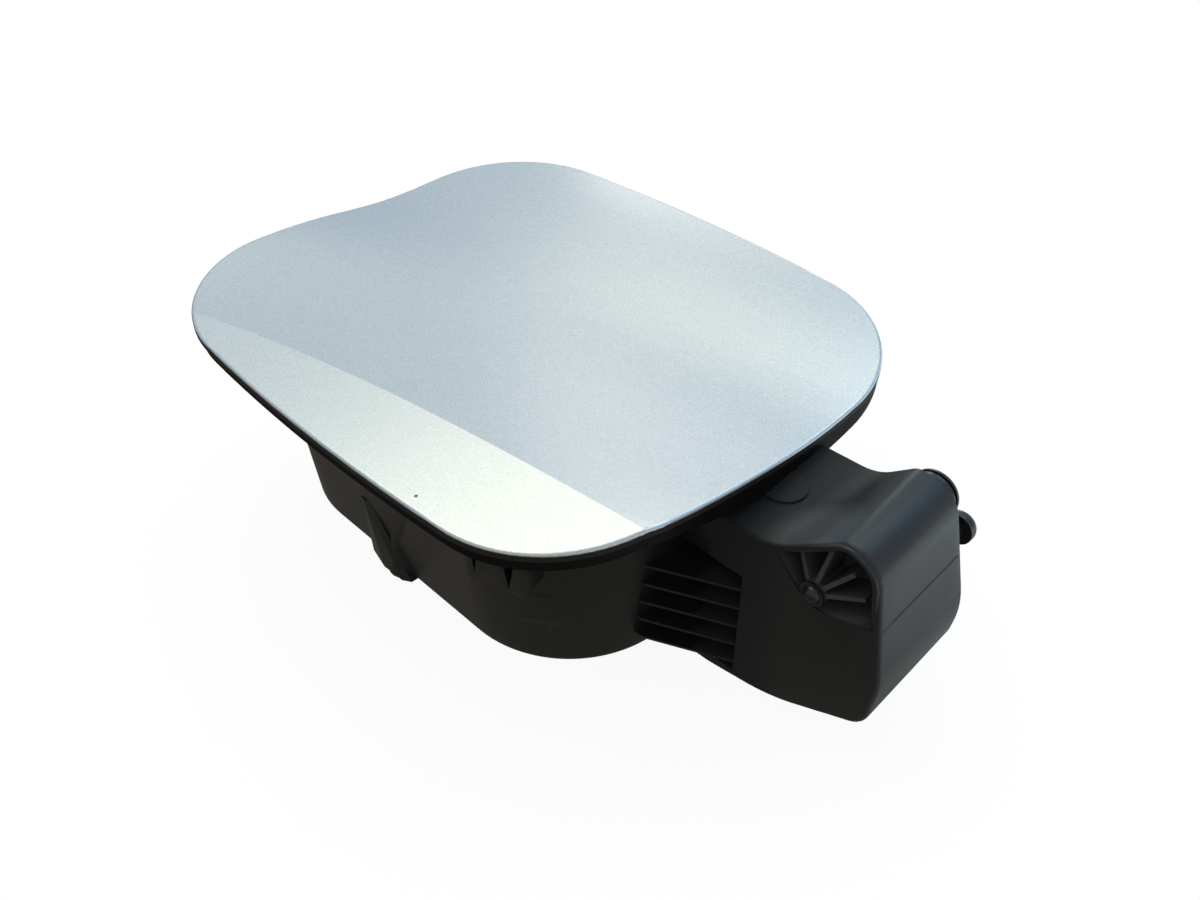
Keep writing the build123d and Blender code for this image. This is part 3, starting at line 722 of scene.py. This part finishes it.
# closing spring wound from round wire, with its straight leg
springCoil = {
    "alongPin": 0.0254,
    "radius": 0.0062,
    "wire": 0.00075,
    "wireSides": 14,
    "ringReach": 1.02,  # picks the wire's first ring, in wire radii
    "turns": 4,
    "stepsPerTurn": 36,
    "rise": 0.0064,
    "leg": 0.012,
    "legSlant": 0.0006,
    "smooth": 50.0,
}


def makeSpringCoil(look):
    place = Vector((hingeX, look["alongPin"], hingeZ))
    start = place + Vector((look["radius"], 0, 0))
    pickNothing()
    bpy.ops.mesh.primitive_circle_add(vertices=look["wireSides"], radius=look["wire"], location=start)
    piece = bpy.context.object
    piece.name = "springCoil"
    bpy.context.scene.cursor.location = place
    bpy.ops.object.origin_set(type="ORIGIN_CURSOR")
    steps = look["stepsPerTurn"] * look["turns"]
    applyModifier(
        piece, "SCREW", axis="Y", angle=-math.radians(360 * look["turns"]), screw_offset=look["rise"],
        steps=steps, render_steps=steps,
    )
    bpy.ops.object.transform_apply(location=True, rotation=True, scale=True)
    bpy.context.scene.cursor.location = (0, 0, 0)
    # the leg grows from the wire's first ring
    reach = look["wire"] * look["ringReach"]
    pickWhere(
        piece, "VERT",
        lambda point: (point.co - start).length < reach and abs(point.co.z - place.z) < sameLevel,
    )
    bpy.ops.mesh.select_mode(type="EDGE")
    bpy.ops.mesh.extrude_region_move(TRANSFORM_OT_translate={"value": (0, -look["legSlant"], -look["leg"])})
    bpy.ops.mesh.select_all(action="SELECT")
    bpy.ops.mesh.fill_holes(sides=look["wireSides"])
    bpy.ops.mesh.select_all(action="SELECT")
    bpy.ops.mesh.normals_make_consistent(inside=False)
    leaveMesh()
    shadeByAngle(look["smooth"])
    dress(piece, "bowl", "steel", "closing_spring")
    piece.data.materials[0] = darkSteel


# hinge pin with a full head
pinShell = {"flatness": 0.1, "headFrom": 0.0318, "headInside": 0.0025, "headScale": 1.2, "smooth": 32.0}


def makePinShell(look):
    piece = copyNode("hinge_pin", "pinShell", look["flatness"])

    def onHead(point):
        reach = math.hypot(point.co.x - hingeX, point.co.z - hingeZ)
        return point.co.y > look["headFrom"] and reach > look["headInside"]

    pickWhere(piece, "VERT", onHead)
    grow = look["headScale"]
    bpy.ops.transform.resize(
        value=(grow, 1, grow), orient_type="GLOBAL", center_override=(hingeX, hingeY, hingeZ)
    )
    leaveMesh()
    shadeByAngle(look["smooth"])
    dress(piece, "flap", "pin_plastic", "hinge_pin")


# domed end of the pin, which shows in the boss
pinDome = {"radius": 0.0026, "sides": 36, "rings": 18, "alongPin": -0.0134, "cut": -0.0140, "smooth": 40.0}


def makePinDome(look):
    pickNothing()
    bpy.ops.mesh.primitive_uv_sphere_add(
        segments=look["sides"], ring_count=look["rings"], radius=look["radius"],
        location=(hingeX, look["alongPin"], hingeZ), rotation=(math.radians(90), 0, 0),
    )
    piece = bpy.context.object
    piece.name = "pinDome"
    bpy.ops.object.transform_apply(location=True, rotation=True, scale=True)
    editMesh()
    bpy.ops.mesh.select_all(action="SELECT")
    bpy.ops.mesh.bisect(plane_co=(0, look["cut"], 0), plane_no=(0, 1, 0), use_fill=True, clear_outer=True)
    leaveMesh()
    shadeByAngle(look["smooth"])
    dress(piece, "flap", "pin_plastic")


makeBowlTrim(recessBead, mouldSeam)  # casts on the bowl's node, which the shell hides
makeBowlShell(bowlShell)
makeRimBracket(rimBracket)
makeSealSkirt(sealSkirt)
makeSpringCoil(springCoil)
makePinShell(pinShell)
makePinDome(pinDome)
print("bowl, bracket, seal, spring and pin shaped")

# floor, white to the camera; other rays meet a brown table that is brighter past the hinge
paleFloor = {
    "size": 8.0,
    "gap": 0.0004,
    "shown": 0.93,
    "shadow": (0.09, 0.09, 0.09),  # diffuse colour, enough for a shadow to show
    "near": (0.165, 0.152, 0.125),
    "far": (1.15, 1.28, 1.36),
    "farSide": (0.10, 0.42),  # X + Y where the table starts to brighten, and where it is full
}


def makeFloor(look):
    pickNothing()
    bpy.ops.mesh.primitive_plane_add(size=look["size"], location=(0, 0, cadBox[0][2] - look["gap"]))
    floor = bpy.context.object
    floor.name = "floor"
    material, tree, surface = newMaterial("paleFloor")
    surface.inputs["Base Color"].default_value = (*look["shadow"], 1.0)
    surface.inputs["Roughness"].default_value = 1.0
    surface.inputs["Specular IOR Level"].default_value = 0.0
    surface.inputs["Emission Color"].default_value = (1.0, 1.0, 1.0, 1.0)
    surface.inputs["Emission Strength"].default_value = look["shown"]
    axes = splitAxes(tree, addNode(tree, "ShaderNodeTexCoord").outputs["Object"])
    across = combine(tree, "ADD", axes["X"], axes["Y"])
    past = mapRange(tree, across, *look["farSide"], 0.0, 1.0)
    table = addNode(tree, "ShaderNodeEmission")
    tree.links.new(mixColours(tree, past, look["near"], look["far"]), table.inputs["Color"])
    path = addNode(tree, "ShaderNodeLightPath")
    choose = addNode(tree, "ShaderNodeMixShader")
    tree.links.new(path.outputs["Is Camera Ray"], choose.inputs[0])
    tree.links.new(table.outputs[0], choose.inputs[1])
    tree.links.new(surface.outputs[0], choose.inputs[2])
    tree.links.new(choose.outputs[0], tree.nodes["Material Output"].inputs["Surface"])
    floor.data.materials.append(material)


camera = {
    "place": (0.2174, -0.1831, 0.24665),
    "turn": 45.69,
    "tilt": 38.87,  # below level
    "lens": 34.51,
    "sensor": 36.0,
    "nearest": 0.01,
}


def makeCamera(look):
    turn = (math.radians(90 - look["tilt"]), 0, math.radians(look["turn"]))
    bpy.ops.object.camera_add(location=look["place"], rotation=turn)
    eye = bpy.context.object
    eye.data.sensor_width = look["sensor"]
    eye.data.lens = look["lens"]
    eye.data.clip_start = look["nearest"]
    bpy.context.scene.camera = eye


# each softbox: place, what it faces, width, depth, brightness, colour
softboxes = {
    "topLight": ((-1.02, 0.28, 1.9), (-1.02, 0.28, 0), 1.72, 2.44, 1.48, (1.0, 0.91, 0.64)),
    "farBox": ((0.10, 0.85, 1.25), (0.10, 0, 0.06), 1.0, 0.6, 1.35, (0.52, 0.78, 1.0)),
    "sideBox": ((-0.775, 1.15, 0.60), (0.03, 0, 0.07), 0.63, 0.35, 1.78, (1.0, 0.92, 0.76)),
}


def makeLights(boxes):
    for title, (place, aim, width, depth, brightness, colour) in boxes.items():
        bpy.ops.object.light_add(type="AREA", location=place)
        lamp = bpy.context.object
        lamp.name = title
        lamp.rotation_euler = (Vector(aim) - Vector(place)).to_track_quat("-Z", "Y").to_euler()
        lamp.data.shape = "RECTANGLE"
        lamp.data.size = width
        lamp.data.size_y = depth
        lamp.data.energy = brightness * math.pi * width * depth
        lamp.data.color = colour


# sky that is bluer on the far side, as from a window there
studioSky = {
    "near": (0.56, 0.555, 0.545),
    "far": (0.50, 0.615, 0.73),
    "farWay": (-0.69, 0.69, 0.22),
    "edge": (-0.35, 0.45),  # along farWay, where near ends and far is full
}


def makeSky(look):
    world = bpy.data.worlds.new("studio")
    world.use_nodes = True
    tree = world.node_tree
    place = addNode(tree, "ShaderNodeTexCoord")
    facing = addNode(tree, "ShaderNodeVectorMath", operation="DOT_PRODUCT")
    tree.links.new(place.outputs["Generated"], facing.inputs[0])
    facing.inputs[1].default_value = look["farWay"]
    past = mapRange(tree, facing.outputs["Value"], *look["edge"], 0.0, 1.0)
    sky = mixColours(tree, past, look["near"], look["far"])
    tree.links.new(sky, tree.nodes["Background"].inputs["Color"])
    bpy.context.scene.world = world


makeFloor(paleFloor)
makeCamera(camera)
makeLights(softboxes)
makeSky(studioSky)
bpy.context.scene.view_settings.view_transform = "Standard"
print("stage set")
